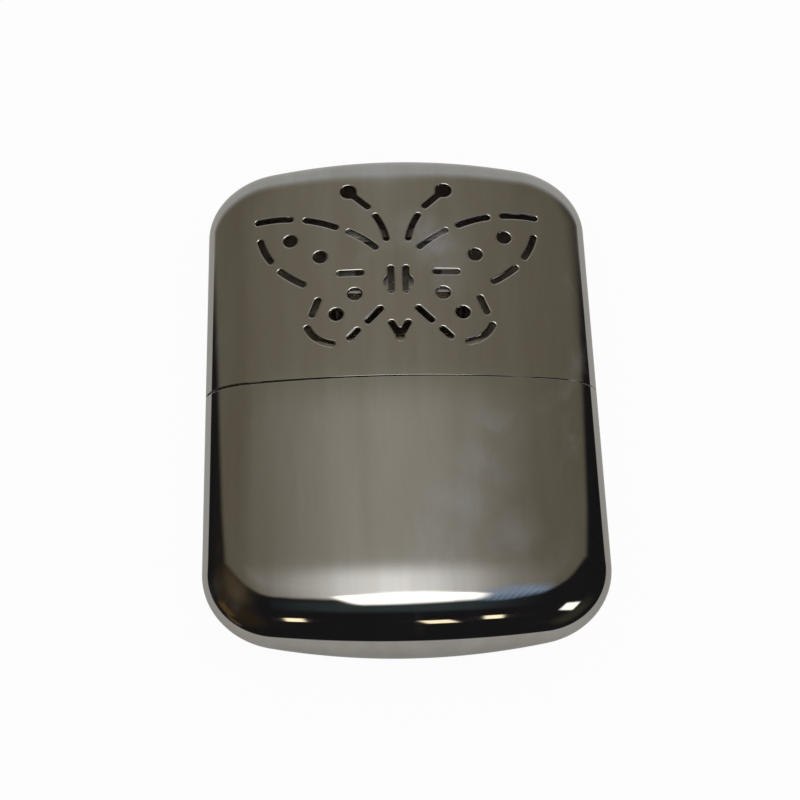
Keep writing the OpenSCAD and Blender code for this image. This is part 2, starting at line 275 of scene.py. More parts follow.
# What polished metal sees of the room. Directions are unit vectors: x to the right, y away from
# the camera, z up. A card is its azimuth, elevation, half width, half height, the softness of its
# sides and of its ends, and its turn, all in degrees, with its colour.
ROOM_DARK = (0.017, 0.0165, 0.02)
DIM_CARDS = [
    (262, 40, 30, 16, 26, 20, 0, (0.04, 0.03, 0.017)),
    (260, 22, 9, 7, 8, 6, 0, (0.13, 0.082, 0.024)),
    (243, 12, 8, 5, 8, 5, 0, (0.13, 0.085, 0.04)),
    (296, 50, 10, 9, 16, 12, 0, (0.09, 0.066, 0.034)),
    (120, 30, 20, 10, 20, 16, 0, (0.05, 0.052, 0.035)),
    (0, 84, 14, 8, 14, 10, 0, (0.049, 0.068, 0.075)),
]
WALL_SIDE = (0.197, 0.180, 0.143)
WALL_MIDDLE = (0.31, 0.29, 0.246)
WALL_LOW = (0.56, 0.58, 0.61)
GLOW = (0.475, 0.465, 0.43)
SOFTBOX_HALO = (0.50, 0.50, 0.50)
SOFTBOX_CORE = (1.42, 1.46, 1.52)
SOFTBOX = (3.6, 3.6, 3.55)
LAMP_CARDS = [
    (218.2, 61.3, 1.5, 4.2, 0.9, 1.8, -34, (2.6, 2.2, 1.5)),
    (167.2, 61, 2.6, 4.2, 1.2, 2.6, 0, (2.3, 2.0, 1.4)),
    (145, 63.3, 1.5, 4.2, 0.9, 1.8, 30, (2.6, 2.3, 1.7)),
    (104.5, 47, 5.5, 7.2, 3, 3, 0, (2.4, 2.4, 2.4)),
]
BLIND_CARD = (36.5, 67, 4.5, 6, 4, 5, 0)
BLIND = (0.34, 0.50, 0.78)
SLATS = 420                                 # rate of the blind's slats across the picture
# Light spilling round the softbox: its far edge in y, where it is full and gone in x, its colour
SPILLS = [
    (0.552, 0.532, 0.0, 0.31, GLOW), (0.452, 0.43, 0.08, 0.40, SOFTBOX_HALO),
    (0.449, 0.431, 0.0, 0.26, SOFTBOX_CORE),
]
SPILL_NEAR, SPILL_SOFT = 0.28, 0.06         # its near edge in y, and how soft that is
PLAIN_LEVEL = 0.95                          # what the world gives to everything but metal


def wall_edge(build, side):
    """Height of the wall's edge in y: level over the object, higher towards the sides."""
    out = build.math("POWER", build.math("MAXIMUM", build.minus(side, 0.2), 0), 1.3)
    return build.times_plus(out, 0.57, 0.28)


def studio_picture(build, ray):
    """Radiance of the studio in the ray's direction, as metal reflects it."""
    x, y, z = build.split(ray)
    side = build.math("ABSOLUTE", x)
    picture = (*ROOM_DARK, 1)
    for *card, colour in DIM_CARDS:
        picture = build.mix(card_mask(build, ray, *card), picture, colour)
    # The paper sweep behind the object: pale at its foot, dim and warm higher up
    aside = build.math("ABSOLUTE", build.math("ADD", x, 0.02))
    wall = build.mix(build.ramp(aside, 0.0, 0.4), WALL_MIDDLE, WALL_SIDE)
    shade = build.times(build.ramp(x, 0.42, 0.6), build.ramp(z, 0.6, 0.2))
    wall = build.mix(build.times(shade, 0.6), wall, ROOM_DARK)
    foot = build.ramp(build.times_plus(side, 0.8, z), 0.8, 0.53)
    wall = build.mix(foot, wall, WALL_LOW)
    above_edge = build.minus(y, wall_edge(build, side))
    picture = build.mix(build.ramp(above_edge, -0.03, 0.03), picture, wall)
    # Light spilling round the softbox
    off_axis = build.math("ABSOLUTE", build.math("ADD", x, 0.01))
    over = build.ramp(z, 0.3, 0.5)
    for low, high, inner, outer, colour in SPILLS:
        spill = build.times(build.ramp(y, low, high), build.ramp(off_axis, outer, inner))
        spill = build.times(spill, build.ramp(y, SPILL_NEAR, SPILL_NEAR + SPILL_SOFT))
        spill = build.times(spill, over)
        picture = build.mix(spill, picture, colour)
    picture = build.mix(build.ramp(z, 0.05, 0.0), picture, WALL_LOW)
    for *card, colour in LAMP_CARDS:
        picture = build.mix(card_mask(build, ray, *card), picture, colour)
    # Slats of a window blind, blue with daylight, beside the softbox
    slats = build.ramp(build.math("SINE", build.times(x, SLATS)), -0.9, 0.9, 0.35, 1)
    slats = build.times(slats, build.ramp(y, 0.425, 0.39))
    slats = build.times(slats, card_mask(build, ray, *BLIND_CARD))
    picture = build.mix(slats, picture, BLIND)
    # The softbox, bowed at its far edge and slanted at its near and left ones
    beside = build.minus(x, 0.03)
    far_edge = build.times_plus(build.times(beside, beside), 2, y)
    near_edge = build.times_plus(x, -0.25, y)
    left_edge = build.times_plus(y, 0.25, x)
    softbox = over
    for value, low, high in ((left_edge, -0.07, -0.03), (x, 0.205, 0.155), (far_edge, 0.413, 0.387),
                             (near_edge, 0.16, 0.28)):
        softbox = build.times(softbox, build.ramp(value, low, high))
    return build.mix(softbox, picture, SOFTBOX)


def add_world():
    world = bpy.data.worlds.new("studio")
    world.use_nodes = True
    build = Nodes(world.node_tree)
    ray = build.add("TexCoord").outputs["Generated"]
    path = build.add("LightPath").outputs
    level = (PLAIN_LEVEL,) * 3
    colour = build.mix(path["Is Glossy Ray"], level, studio_picture(build, ray))
    seen = build.math("ADD", path["Is Camera Ray"], path["Is Transmission Ray"], clamp=True)
    colour = build.mix(seen, colour, (1.0, 1.0, 1.0))
    background = build.add("Background")
    build.put(background.inputs["Color"], colour)
    output = build.add("OutputWorld")
    build.tree.links.new(background.outputs[0], output.inputs[0])
    bpy.context.scene.world = world


FLOOR_HALF = 3.0                            # m
FLOOR_DROP = 0.00002                        # m, so that the casing rests on it without crossing
PAPER = (0.55, 0.55, 0.55, 1)
WHITE_SEEN, WHITE_IN_METAL = 0.96, 0.1      # share of plain white, seen and in reflections


def add_floor():
    """Plain pale floor, white where nothing shades it."""
    mesh = bpy.data.meshes.new("floor")
    corners = [(sx * FLOOR_HALF, sy * FLOOR_HALF, -FLOOR_DROP)
               for sx, sy in ((-1, -1), (1, -1), (1, 1), (-1, 1))]
    mesh.from_pydata(corners, [], [(0, 1, 2, 3)])
    floor = bpy.data.objects.new("floor", mesh)
    bpy.context.scene.collection.objects.link(floor)
    floor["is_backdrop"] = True
    material = bpy.data.materials.new("floor")
    material.use_nodes = True
    build = Nodes(material.node_tree)
    paper = build.add("BsdfDiffuse")
    build.put(paper.inputs["Color"], PAPER)
    white = build.add("Emission")
    path = build.add("LightPath").outputs
    seen = build.math("ADD", path["Is Camera Ray"], path["Is Transmission Ray"], clamp=True)
    share = build.times(seen, WHITE_SEEN)
    share = build.times_plus(path["Is Glossy Ray"], WHITE_IN_METAL, share)
    blend = build.add("MixShader")
    build.put(blend.inputs[0], share)
    build.tree.links.new(paper.outputs[0], blend.inputs[1])
    build.tree.links.new(white.outputs[0], blend.inputs[2])
    output = build.add("OutputMaterial")
    build.tree.links.new(blend.outputs[0], output.inputs["Surface"])
    mesh.materials.append(material)


# ---------------------------------------------------------------- materials

STAIN_Y, STAIN_HALF_W, STAIN_HALF_H = 28, 4.8, 6.8      # mm: ellipse of the burner's heat stain
STREAK_X, STREAK_Y = (2.1, 1.7), (18.1, 18.5)           # mm: where the streak below it begins
VAPOUR_Y = (5.0, 6.8)                                   # mm: where the vapour's stain begins

# Breathed-on smudges of the front face: x, y and reach in mm of the seam frame, and strength
SMUDGES = [
    (3.5, 31, 7, 1.3), (7, 27.5, 7, 1.5), (8.5, 24, 5, 1.3), (9, 20, 5, 0.8), (16, -10, 8, 0.8),
    (13.5, -18, 9, 0.9), (10, -25, 10, 1.0), (6, -32, 9, 0.9), (17, -31, 8, 1.0),
]


def nickel_material(name="nickel_plate", roughness=0.045):
    """Polished nickel plate: waves of the drawn sheet, mottling, smudges and hairline scratches."""
    material, build, shader = new_material(name)
    mottle = build.ramp(build.noise((170, 24, 170), 3, 0.6), 0.3, 0.7)
    tint = build.mix(mottle, (0.425, 0.405, 0.355), (0.475, 0.455, 0.415))
    haze = build.ramp(build.noise((55, 32, 55), 5, 0.62, 0.8), 0.6, 0.9)
    wisps = build.ramp(build.noise((160, 90, 160), 5, 0.65, 1.2), 0.3, 0.75, 0.25, 0.85)
    for x, y, reach, strength in SMUDGES:
        spot = build.times(build.ramp(build.distance(x, y), reach, 0, 0, strength), wisps)
        haze = build.math("MAXIMUM", haze, spot)
    build.put(shader["Base Color"], build.mix(haze, tint, (0.47, 0.475, 0.49)))
    build.put(shader["Metallic"], build.times_plus(haze, -0.13, 1.0))
    build.put(shader["Roughness"], build.times_plus(haze, 0.035, roughness))
    waves = build.bump(build.noise((110, 40, 110), 1), 0.011)
    hairlines = build.noise((260, 9000, 260), 2)
    build.put(shader["Normal"], build.bump(hairlines, 0.0003, 0.35, waves))
    return material


def heat_stain_and_dark_streak(build, cloudy):
    """1 where the burner's heat has browned the metal round the windows, most in the middle, and in a
    dark streak painted below the middle window.
    """
    x, y, _ = build.split(build.place(1 / MM))
    across = build.math("ABSOLUTE", x)
    along = build.math("DIVIDE", build.minus(y, STAIN_Y), STAIN_HALF_H)
    aside = build.math("DIVIDE", across, STAIN_HALF_W)
    square = build.times(along, along)
    far = build.math("SQRT", build.times_plus(aside, aside, square))
    far = build.times_plus(build.ramp(cloudy, 0.3, 0.7), 0.2, far)
    # A dark streak painted below the middle window, as dark as the stain.
    below = build.times(build.ramp(across, *STREAK_X), build.ramp(y, *STREAK_Y))
    return build.math("MAXIMUM", build.ramp(far, 1.25, 0.95), below)


def vapour_stain(build, cloudy):
    """1 on the tank's shoulder and dome, which the vapour has browned, fading down the collar."""
    y = build.split(build.place(1 / MM))[1]
    return build.times(build.ramp(y, *VAPOUR_Y), build.ramp(cloudy, 0.2, 0.6, 0.75, 1.0))


def sheet_metal(name, colour, roughness, rough_share=0.15, bare=1.0, scratched=0.0, stain=None,
                stained=None):
    """Mottled metal, bare or with an oxide over part of it.

    Scratched is the depth in millimetres of the marks of sliding along Y. Stain(build, cloudy)
    says where the metal has the colour stained.
    """
    material, build, shader = new_material(name)
    mottle = build.ramp(build.noise(300, 3), 0.3, 0.7)
    cloudy = build.noise((700, 500, 700), 4, 0.6)
    base = build.mix(mottle, tuple(0.85 * c for c in colour), colour)
    if stain:
        heat = stain(build, cloudy)
        base = build.mix(heat, base, stained)
        roughness = build.times_plus(heat, 0.12, roughness)
    build.put(shader["Base Color"], base)
    build.put(shader["Metallic"], bare)
    build.put(shader["Roughness"], build.times_plus(cloudy, rough_share, roughness))
    grain = build.bump(build.noise(2500, 2), 0.004)
    if scratched:
        marks = build.ramp(build.noise((2600, 60, 2600), 3, 0.7), 0.5, 0.75)
        grain = build.bump(marks, scratched, 1.0, grain)
    build.put(shader["Normal"], grain)
    return material


def fibre_material(name, colour, shade, coarse, fine, depth, specks=None):
    """Matt fibrous stuff: lighter tufts over shade, and a felted surface depth millimetres deep.

    Coarse and fine are the sizes of the tufts and of the fibres, in repeats to the metre.
    """
    material, build, shader = new_material(name)
    tufts = build.ramp(build.noise(coarse, 4, 0.6, 0.6), 0.3, 0.7)
    fibres = build.noise((fine, fine / 7, fine), 4, 0.75, 1.5)
    base = build.mix(tufts, shade, colour)
    base = build.mix(build.ramp(fibres, 0.6, 0.3), base, shade)
    if specks:
        base = build.mix(build.ramp(build.noise(fine / 3, 2, 0.5), 0.6, 0.7), base, specks)
    build.put(shader["Base Color"], base)
    build.put(shader["Roughness"], 0.95)
    build.put(shader["Specular IOR Level"], 0.2)
    build.put(shader["Sheen Weight"], 0.25)
    build.put(shader["Sheen Roughness"], 0.5)
    soft = build.bump(tufts, 2 * depth, 0.6)
    build.put(shader["Normal"], build.bump(fibres, depth, 0.9, soft))
    return material


# ---------------------------------------------------------------- mesh helpers

WELD, SLIVER = 2e-4, 1e-4                   # mm: points this near are one, edges this short go


def make_object(name, points, faces, materials, body, replaced, slot, sharp=40,
                face_materials=None, normals=None):
    """Object from points in the seam frame, in millimetres; doubled points are joined.

    Normals(points) gives exact normals, or zeros where Blender's own are kept.
    """
    mesh = bpy.data.meshes.new(name)
    placed = (np.asarray(points, float) + (0, 0, REST_Z)) * MM
    mesh.from_pydata(placed.tolist(), [], [list(f) for f in faces])
    if face_materials is not None:
        mesh.polygons.foreach_set("material_index", np.asarray(face_materials, np.int32))
    build = bmesh.new()
    build.from_mesh(mesh)
    bmesh.ops.remove_doubles(build, verts=build.verts, dist=WELD * MM)
    bmesh.ops.dissolve_degenerate(build, edges=build.edges, dist=SLIVER * MM)
    bmesh.ops.recalc_face_normals(build, faces=build.faces)
    build.to_mesh(mesh)
    build.free()
    mesh.polygons.foreach_set("use_smooth", [True] * len(mesh.polygons))
    mesh.set_sharp_from_angle(angle=math.radians(sharp))
    if normals:
        flat = np.zeros(len(mesh.vertices) * 3)
        mesh.vertices.foreach_get("co", flat)
        exact = normals(flat.reshape(-1, 3) / MM - (0, 0, REST_Z))
        mesh.normals_split_custom_set_from_vertices(exact.tolist())
    for material in materials:
        mesh.materials.append(material)
    piece = bpy.data.objects.new(name, mesh)
    bpy.context.scene.collection.objects.link(piece)
    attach(piece, body)
    if replaced:
        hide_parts(*replaced)
    return piece


class Patchwork:
    """Points and faces gathered from several stretches of surface."""

    def __init__(self):
        self.points, self.faces, self.kinds, self.count = [], [], [], 0

    def add(self, points, faces, kind=0):
        points = np.asarray(points, float).reshape(-1, 3)
        self.points.append(points)
        self.faces += [tuple(i + self.count for i in face) for face in faces]
        self.kinds += [kind] * len(faces)
        self.count += len(points)

    def grid(self, rows, kind=0, closed=False):
        """Quads over a grid of points, rows by columns; closed joins the last row's columns."""
        rows = np.asarray(rows, float)
        n, m = rows.shape[:2]
        last = m if closed else m - 1
        faces = [(i * m + j, i * m + (j + 1) % m, (i + 1) * m + (j + 1) % m, (i + 1) * m + j)
                 for i in range(n - 1) for j in range(last)]
        self.add(rows.reshape(-1, 3), faces, kind)

    def piece(self, name, *rest, turn=(1, 1, 1), **more):
        """The object that the gathered surface makes."""
        return make_object(name, np.concatenate(self.points) * turn, self.faces, *rest, **more)


def zero_loops(distance, low, high, step):
    """Closed loops of points where distance(x, y) is zero, inside a box."""
    counts = [int(math.ceil((h - l) / step)) for l, h in zip(low, high)]
    build = bmesh.new()
    bmesh.ops.create_grid(build, x_segments=counts[0], y_segments=counts[1], size=0.5)
    flat = np.array([v.co[:2] for v in build.verts]) + 0.5
    flat = flat * (np.array(high) - low) + low
    for vert, (x, y), d in zip(build.verts, flat, distance(*flat.T)):
        vert.co = (x, y, d if abs(d) > 1e-6 else 1e-6)
    geometry = list(build.verts) + list(build.edges) + list(build.faces)
    cut = bmesh.ops.bisect_plane(build, geom=geometry, plane_co=(0, 0, 0), plane_no=(0, 0, 1))
    edges = {e for e in cut["geom_cut"] if isinstance(e, bmesh.types.BMEdge)}
    loops = []
    while edges:
        edge = edges.pop()
        first, here = edge.verts
        loop = [first.co[:2], here.co[:2]]
        while here is not first:
            edge = next(e for e in here.link_edges if e in edges)
            edges.discard(edge)
            here = edge.other_vert(here)
            loop.append(here.co[:2])
        loops.append(np.array(loop[:-1]))
    build.free()
    return loops


def gradient(distance, points):
    h = 1e-3
    x, y = points.T
    slope = np.stack([distance(x + h, y) - distance(x - h, y),
                      distance(x, y + h) - distance(x, y - h)], axis=1)
    return slope / np.maximum(np.linalg.norm(slope, axis=1, keepdims=True), 1e-9)


def even_loop(loop, spacing):
    """The loop's points spread evenly, about spacing apart."""
    closed = np.vstack([loop, loop[:1]])
    run = np.concatenate([[0], np.cumsum(np.linalg.norm(np.diff(closed, axis=0), axis=1))])
    count = max(12, int(round(run[-1] / spacing)))
    at = np.arange(count) * run[-1] / count
    return np.stack([np.interp(at, run, closed[:, k]) for k in (0, 1)], axis=1)


def hole_loops(distance, low, high, step, spacing, offset):
    """Loops at the given distance outside the holes, and their outward directions."""
    result = []
    for loop in zero_loops(lambda x, y: distance(x, y) - offset, low, high, step):
        loop = even_loop(loop, spacing)
        for _ in range(3):
            x, y = loop.T
            loop = loop - gradient(distance, loop) * (distance(x, y) - offset)[:, None]
        result.append((loop, gradient(distance, loop)))
    return result


def fill_region(border, loops, inside, low, high, pitch):
    """Triangles over a bordered region with holes. Inside(x, y) is the distance into the region."""
    chains = [border] + [loop for loop, _ in loops]
    points, edges = [], []
    for chain in chains:
        start = len(points)
        points += chain.tolist()
        edges += [(start + i, start + (i + 1) % len(chain)) for i in range(len(chain))]
    rows = np.arange(low[1], high[1], pitch * math.sqrt(3) / 2)
    for j, y in enumerate(rows):
        x = np.arange(low[0] + (j % 2) * pitch / 2, high[0], pitch)
        keep = inside(x, np.full_like(x, y)) > 0.5 * pitch
        points += [(px, y) for px in x[keep]]
    flat = [Vector(p) for p in points]
    out, _, faces, _, _, _ = delaunay_2d_cdt(flat, edges, [], 0, 1e-5)
    out = np.array([v[:] for v in out])
    faces = np.array([f for f in faces if len(f) == 3])
    middle = out[faces].mean(axis=1)
    return out, faces[inside(*middle.T) > 0]


def edge_profile(width, depth, sheet, steps=4):
    """Reach and depth round the cut edge of a sheet, from its outer skin to its inner one."""
    turns = np.linspace(0, math.pi / 2, steps + 1)
    over = [(width * math.sin(t), depth * (1 - math.cos(t))) for t in turns]
    return over + [(out, sheet - down) for out, down in reversed(over)]


def edge_rows(chain, inward, at, profile):
    """Rows over the cut edge of a sheet.

    The chain runs where the profile starts, and inward points into the sheet. At(points, depth)
    puts flat points into space, at a depth below the outer skin.
    """
    return [at(chain - inward * out, down) for out, down in profile]


# ---------------------------------------------------------------- casing

def inset(x, y):
    """Distance inside the outline."""
    across, along = np.abs(x) - CORNER_X, y - CORNER_Y
    in_corner = (across > 0) & (along > 0) & (np.arctan2(along, across) < CORNER_ANGLE)
    return np.where(in_corner, CORNER_R - np.hypot(across, along),
                    np.minimum(HALF_W - np.abs(x), BOW_R - np.hypot(x, y - BOW_Y)))


def crown(x, y, gap):
    fall = np.maximum(0, y - LENGTH + END_DROP_LEN) / END_DROP_LEN
    return HALF_T - gap - SIDE_DROP * (x / HALF_W) ** 2 - END_DROP * fall ** 2


def skin_z(x, y, gap):
    """Height of the skin that lies gap inside the outside, above the middle plane."""
    rest = 1 - np.clip((inset(x, y) - gap) / (EDGE_DEPTH - gap), 0, 1)
    return crown(x, y, gap) * np.sqrt(1 - rest ** EDGE_POWER)


def skin(x, y, gap, side=1):
    return np.stack(np.broadcast_arrays(x, y, side * skin_z(x, y, gap)), axis=-1)


def skin_point(flat, gap):
    """Points of the front skin that lies gap inside, over points of the plan."""
    return skin(*flat.T, gap)


def slope(function, x, y, h=1e-3):
    return np.stack([function(x + h, y) - function(x - h, y),
                     function(x, y + h) - function(x, y - h)], axis=-1) / (2 * h)


def skin_normals(points, keep):
    """Exact normals of the outer skin for the points on it, zeros for the rest."""
    x, y, z = points.T
    depth = inset(x, y)
    height = crown(x, y, 0)
    rest = 1 - np.clip(depth / EDGE_DEPTH, 0, 1)
    on_skin = np.abs((z / height) ** 2 + rest ** EDGE_POWER - 1) < 2e-4
    flat = (-2 * (z ** 2 / height ** 3)[:, None] * slope(lambda u, v: crown(u, v, 0), x, y)
            - (EDGE_POWER * rest ** (EDGE_POWER - 1) / EDGE_DEPTH)[:, None] * slope(inset, x, y))
    found = np.concatenate([flat, (2 * z / height ** 2)[:, None]], axis=1)
    found /= np.linalg.norm(found, axis=1, keepdims=True)
    return found * (on_skin & keep(x, y, z))[:, None]


def outline(rim):
    """Points of the outline and its outward directions, from one rim round to the other."""
    side_y = np.linspace(rim(HALF_W), CORNER_Y, 42)[:-1]
    side = [(HALF_W, y, 1.0, 0.0) for y in side_y]
    corner = [(CORNER_X + CORNER_R * math.cos(a), CORNER_Y + CORNER_R * math.sin(a),
               math.cos(a), math.sin(a)) for a in np.linspace(0, CORNER_ANGLE, 34)[:-1]]
    bow = [(BOW_R * math.cos(a), BOW_Y + BOW_R * math.sin(a), math.cos(a), math.sin(a))
           for a in np.linspace(CORNER_ANGLE, math.pi - CORNER_ANGLE, 56)]
    right = side + corner
    left = [(-x, y, -nx, ny) for x, y, nx, ny in reversed(right)]
    left[-1] = (-HALF_W, rim(-HALF_W), -1.0, 0.0)
    return np.array(right + bow + left)


ROLL_STEPS = 18
FACE_STEPS = 71                             # across the front, between the rolled borders
FACE_PITCH = 0.8                            # mm: size of the faces' triangles
VENT_LOW, VENT_HIGH = (-30, 5), (30, 44)    # mm: box round the figure
VENT_GRID, VENT_SPACING = 0.2, 0.16         # mm: of the search for the vents' edges, and along them
PUNCH_STEPS = 7


def roll_place(step, gap):
    """Offset from the outline and share of the crown's height, at a step from edge to border."""
    border = math.acos((1 - (ROLL_W - gap) / (EDGE_DEPTH - gap)) ** (EDGE_POWER / 2))
    turn = border * np.abs(step) / ROLL_STEPS
    rest = np.cos(turn) ** (2 / EDGE_POWER)
    return gap + (EDGE_DEPTH - gap) * (1 - rest), np.sign(step) * np.sin(turn)


def roll_rows(edge, gap):
    """Grid over the rolled edge: a row for each outline point, from the front to the back."""
    steps = np.arange(ROLL_STEPS, -ROLL_STEPS - 1, -1)
    offset, share = roll_place(steps, gap)
    x = edge[:, None, 0] - edge[:, None, 2] * offset
    y = edge[:, None, 1] - edge[:, None, 3] * offset
    return np.stack([x, y, share * crown(x, y, gap)], axis=-1)


def skin_ring(height, gap, xs):
    """Ring round a skin, from the front to the left. Height gives y for an array of x."""
    offset, share = roll_place(np.arange(ROLL_STEPS, -ROLL_STEPS - 1, -1), gap)
    side_x = HALF_W - offset
    front = skin(xs, height(xs), gap)
    left = np.stack([-side_x, height(-side_x), share * crown(side_x, height(-side_x), gap)], axis=-1)
    back = skin(-xs, height(-xs), gap, -1)
    right = np.stack([side_x, height(side_x), -share * crown(side_x, height(side_x), gap)], axis=-1)
    return np.concatenate([stretch[:-1] for stretch in (front, left, back, right)])


def rim_rows(rim, xs):
    """Rings round the rim, from the outer skin over its rounded edges to the inner one."""
    return [skin_ring(lambda x: rim(x) - out, gap, xs)
            for out, gap in edge_profile(RIM_W, RIM_D, SHEET)]


def add_shell(name, node, body, rim, mirror, materials, vents=None):
    """Drawn shell with a closed far end and an open rim, with vents through its front face."""
    edge = outline(rim)
    xs = np.linspace(HALF_W - ROLL_W, ROLL_W - HALF_W, FACE_STEPS + 1)
    arc = edge[:, :2] - edge[:, 2:] * ROLL_W
    foot = np.stack([-xs, rim(-xs)], axis=1)[1:-1]
    border = np.vstack([arc, foot])
    low, high = (ROLL_W - HALF_W, -1), (HALF_W - ROLL_W, LENGTH - ROLL_W)

    def inside(x, y):
        return np.minimum(inset(x, y) - ROLL_W, y - rim(x))

    def inside_vented(x, y):
        return np.minimum(inside(x, y), vents(x, y) - PUNCH_W)

    work = Patchwork()
    for gap, kind in ((0, 0), (SHEET, 1)):
        work.grid(roll_rows(edge, gap), kind)
    work.grid(rim_rows(rim, xs), 0, closed=True)
    for side in (1, -1):
        loops = []
        within = inside
        if vents and side == 1:
            loops = hole_loops(vents, VENT_LOW, VENT_HIGH, VENT_GRID, VENT_SPACING, PUNCH_W)
            within = inside_vented
        flat, faces = fill_region(border, loops, within, low, high, FACE_PITCH)
        for gap, kind in ((0, 0), (SHEET, 1)):
            work.add(skin(*flat.T, gap, side), faces, kind)
        punched = edge_profile(PUNCH_W, PUNCH_D, SHEET, PUNCH_STEPS)
        for loop, outward in loops:
            work.grid(edge_rows(loop, outward, skin_point, punched), closed=True)
    turn = (1, -1, 1) if mirror else (1, 1, 1)

    def plain_skin(x, y, z):
        clear = y > rim(x) - 1e-3
        if vents:
            clear &= (z < 0) | (vents(x, y) > PUNCH_W - 1e-3)
        return clear

    return work.piece(name, materials, body, [node], "nickel_plate", turn=turn,
                      face_materials=work.kinds,
                      normals=lambda points: skin_normals(points * turn, plain_skin) * turn)


# ---------------------------------------------------------------- the lid's figure

# A butterfly of slots and round holes, right half, in millimetres from its axis and its foot.
# Each slot is bowed through its start, middle and end.
WING_SLOTS = [
    ((24.88, 27.52), (22, 27.8), (19.12, 27.71)),
    ((16.29, 27.24), (13.7, 26.5), (11, 25.38)),
    ((8.62, 24.18), (6.2, 22.6), (3.97, 20.64)),
    ((24.43, 23.19), (23.7, 20.9), (22.6, 18.8)),
    ((20.83, 16.36), (18.9, 14.7), (16.88, 13.32)),
    ((10.38, 15.2), (8.5, 15.2), (6.62, 15.2)),
    ((14.27, 9.69), (14.8, 8.2), (15.32, 6.81)),
    ((16.17, 4.02), (14.5, 1.7), (11.9, 0.49)),
    ((3.34, 7.43), (4.4, 6.2), (5.55, 4.96)),
    ((7.45, 3.04), (8.1, 2.3), (8.75, 1.56)),
]
FEELER_SLOTS = [
    ((8.6, 33.2), (6.9, 31.4), (5.16, 29.66)),
    ((3.8, 27.5), (2.7, 25.2), (1.96, 22.51)),
]
TRUNK_SLOT = ((1.35, 11.32), (1.3, 13.6), (1.35, 15.98))
TAIL_SLOT = ((1.45, 4.4), (0.75, 3.0), (0, 1.5))
WING_SPOTS = [(19.1, 22.9), (13.8, 19.0), (7.8, 10.7), (11.1, 6.6)]
FEELER_TIP = (8.6, 33.2)
TRUNK_BULGE = (1.1, 13.1)
TRUNK_BULGE_R = 1.45
TAIL_R = 0.7
SLOT_STEPS = 8


def bowed(slot, t):
    start, middle, end = (np.array(p, float) for p in slot)
    return start * (1 - t) * (1 - 2 * t) + middle * 4 * t * (1 - t) + end * t * (2 * t - 1)


def slot_distance(x, y, slot):
    """Distance outside a bowed slot."""
    best = np.full(np.shape(x), np.inf)
    line = [bowed(slot, i / SLOT_STEPS) for i in range(SLOT_STEPS + 1)]
    for (ax, ay), (bx, by) in zip(line, line[1:]):
        dx, dy = bx - ax, by - ay
        t = np.clip(((x - ax) * dx + (y - ay) * dy) / (dx * dx + dy * dy), 0, 1)
        best = np.minimum(best, np.hypot(x - ax - t * dx, y - ay - t * dy))
    return best - SLOT_W / 2


def figure_distance(x, y):
    """Distance outside the butterfly's holes."""
    x, y = np.abs(x), (y - FIGURE_FOOT) / FIGURE_STRETCH
    spots = [(*p, SPOT_D / 2) for p in WING_SPOTS]
    spots += [(*FEELER_TIP, FEELER_D / 2), (*TAIL_SLOT[2], TAIL_R)]
    found = [slot_distance(x, y, s) for s in WING_SLOTS + FEELER_SLOTS + [TRUNK_SLOT, TAIL_SLOT]]
    found += [np.hypot(x - sx, y - sy) - r for sx, sy, r in spots]
    bulge = np.hypot(x - TRUNK_BULGE[0], y - TRUNK_BULGE[1]) - TRUNK_BULGE_R
    found.append(np.maximum(bulge, TRUNK_SLOT[0][0] - x))
    return np.min(found, axis=0)


# ---------------------------------------------------------------- oblong pieces

SPINE_HALF = 8.5                            # mm: neck and burner are turned about this line's ends


def extent(name):
    """Reach of a node from the spine, and its lowest and highest places along Y, in mm."""
    low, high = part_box(name)
    return high.z / MM - REST_Z, low.y / MM, high.y / MM


def oblong_length(radius):
    return 4 * SPINE_HALF + 2 * math.pi * radius


def oblong_at(run, radius, ref):
    """X and z on the oblong of a radius, at run millimetres round the one of the radius ref.

    The run starts in the middle of the front and goes to the left.
    """
    run = np.mod(run, oblong_length(ref))
    left = SPINE_HALF + math.pi * ref
    back = left + 2 * SPINE_HALF
    right = back + math.pi * ref
    turn_left, turn_right = (run - SPINE_HALF) / ref, (run - back) / ref
    parts = [run < SPINE_HALF, run < left, run < back, run < right]
    x = np.select(parts, [-run, -SPINE_HALF - radius * np.sin(turn_left),
                          run - left - SPINE_HALF, SPINE_HALF + radius * np.sin(turn_right)],
                  SPINE_HALF - (run - right))
    z = np.select(parts, [radius + 0 * run, radius * np.cos(turn_left), -radius + 0 * run,
                          -radius * np.cos(turn_right)], radius)
    return x, z


def ring_runs(ref, flat_steps=6, end_steps=24):
    """Places round an oblong, closer together on its ends."""
    stops = np.cumsum([0, SPINE_HALF, math.pi * ref, 2 * SPINE_HALF, math.pi * ref, SPINE_HALF])
    steps = (flat_steps, end_steps, 2 * flat_steps, end_steps, flat_steps)
    return np.concatenate([np.linspace(a, b, n + 1)[:-1]
                           for a, b, n in zip(stops, stops[1:], steps)])


